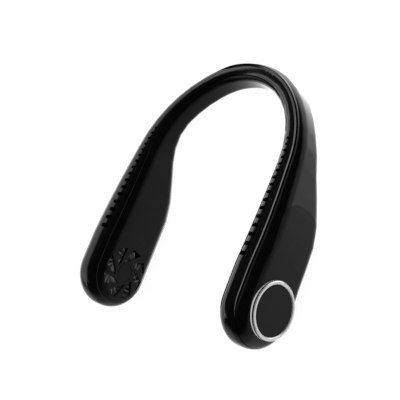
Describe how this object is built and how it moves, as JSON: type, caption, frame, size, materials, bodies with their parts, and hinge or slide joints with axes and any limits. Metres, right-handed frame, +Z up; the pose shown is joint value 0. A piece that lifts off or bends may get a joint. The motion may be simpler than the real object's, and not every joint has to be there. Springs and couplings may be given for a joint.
{
  "type": "electric neck fan",
  "caption": "U-shaped bladeless neck fan: paddle arms with pinwheel intakes, outlet slots along the top edge, a ringed power button and a narrow band behind the neck.",
  "frame": {"origin": "under the middle of the bounding box, on the plane that the arms stand on", "axes": "+Z up; the arms lie along Y with their tips towards -Y; +X is the arm with the power button"},
  "size_m": [0.1694, 0.1854, 0.05],
  "materials": {
    "gloss_black": "gloss black moulded shell",
    "satin_panel": "satin black inlay",
    "bright_ring": "bright plated ring",
    "matt_disc": "matt charcoal disc",
    "fan_plastic": "black moulded plastic",
    "magnet": "bonded ferrite",
    "steel": "plain steel",
    "brass": "sintered bronze",
    "copper": "enamelled copper wire",
    "base_metal": "die-cast base",
    "battery_wrap": "shrink wrap",
    "foam": "closed-cell foam",
    "board": "green solder mask",
    "switch": "moulded switch case",
    "cable": "insulated ribbon cable"
  },
  "bodies": {
    "housing": {"board_screws": "steel", "centre_frame": "gloss_black", "charge_board": "board", "control_board": "board", "inner_cover": "gloss_black", "left_air_guide": "fan_plastic", "left_battery": "battery_wrap", "left_battery_pad": "foam", "left_bearing": "brass", "left_cap_disc": "matt_disc", "left_motor_base": "base_metal", "left_side_panel": "satin_panel", "left_stator": "steel", "left_trim_ring": "bright_ring", "left_windings": "copper", "link_cable": "cable", "motor_screws": "steel", "outer_cover": "gloss_black", "right_air_guide": "fan_plastic", "right_battery": "battery_wrap", "right_battery_pad": "foam", "right_bearing": "brass", "right_motor_base": "base_metal", "right_side_panel": "satin_panel", "right_stator": "steel", "right_trim_ring": "bright_ring", "right_windings": "copper", "tact_switch": "switch", "usb_c_socket": "steel"},
    "right_rotor": {"right_impeller": "fan_plastic", "right_rotor_magnet": "magnet", "right_shaft": "steel"},
    "left_rotor": {"left_impeller": "fan_plastic", "left_rotor_magnet": "magnet", "left_shaft": "steel"},
    "button": {"power_button": "matt_disc", "switch_plunger": "switch"}
  },
  "joints": [
    {"name": "right_impeller_spin", "type": "hinge", "parent": "housing", "child": "right_rotor", "pos_m": [0.067, -0.06675, 0.0242], "axis": [1, 0, 0], "continuous": true},
    {"name": "left_impeller_spin", "type": "hinge", "parent": "housing", "child": "left_rotor", "pos_m": [-0.067, -0.06675, 0.0242], "axis": [-1, 0, 0], "continuous": true},
    {"name": "power_button_press", "type": "slide", "parent": "housing", "child": "button", "axis": [-1, 0, 0], "range_m": [0, 0.0005], "stiffness_N_per_m": 800}
  ]
}
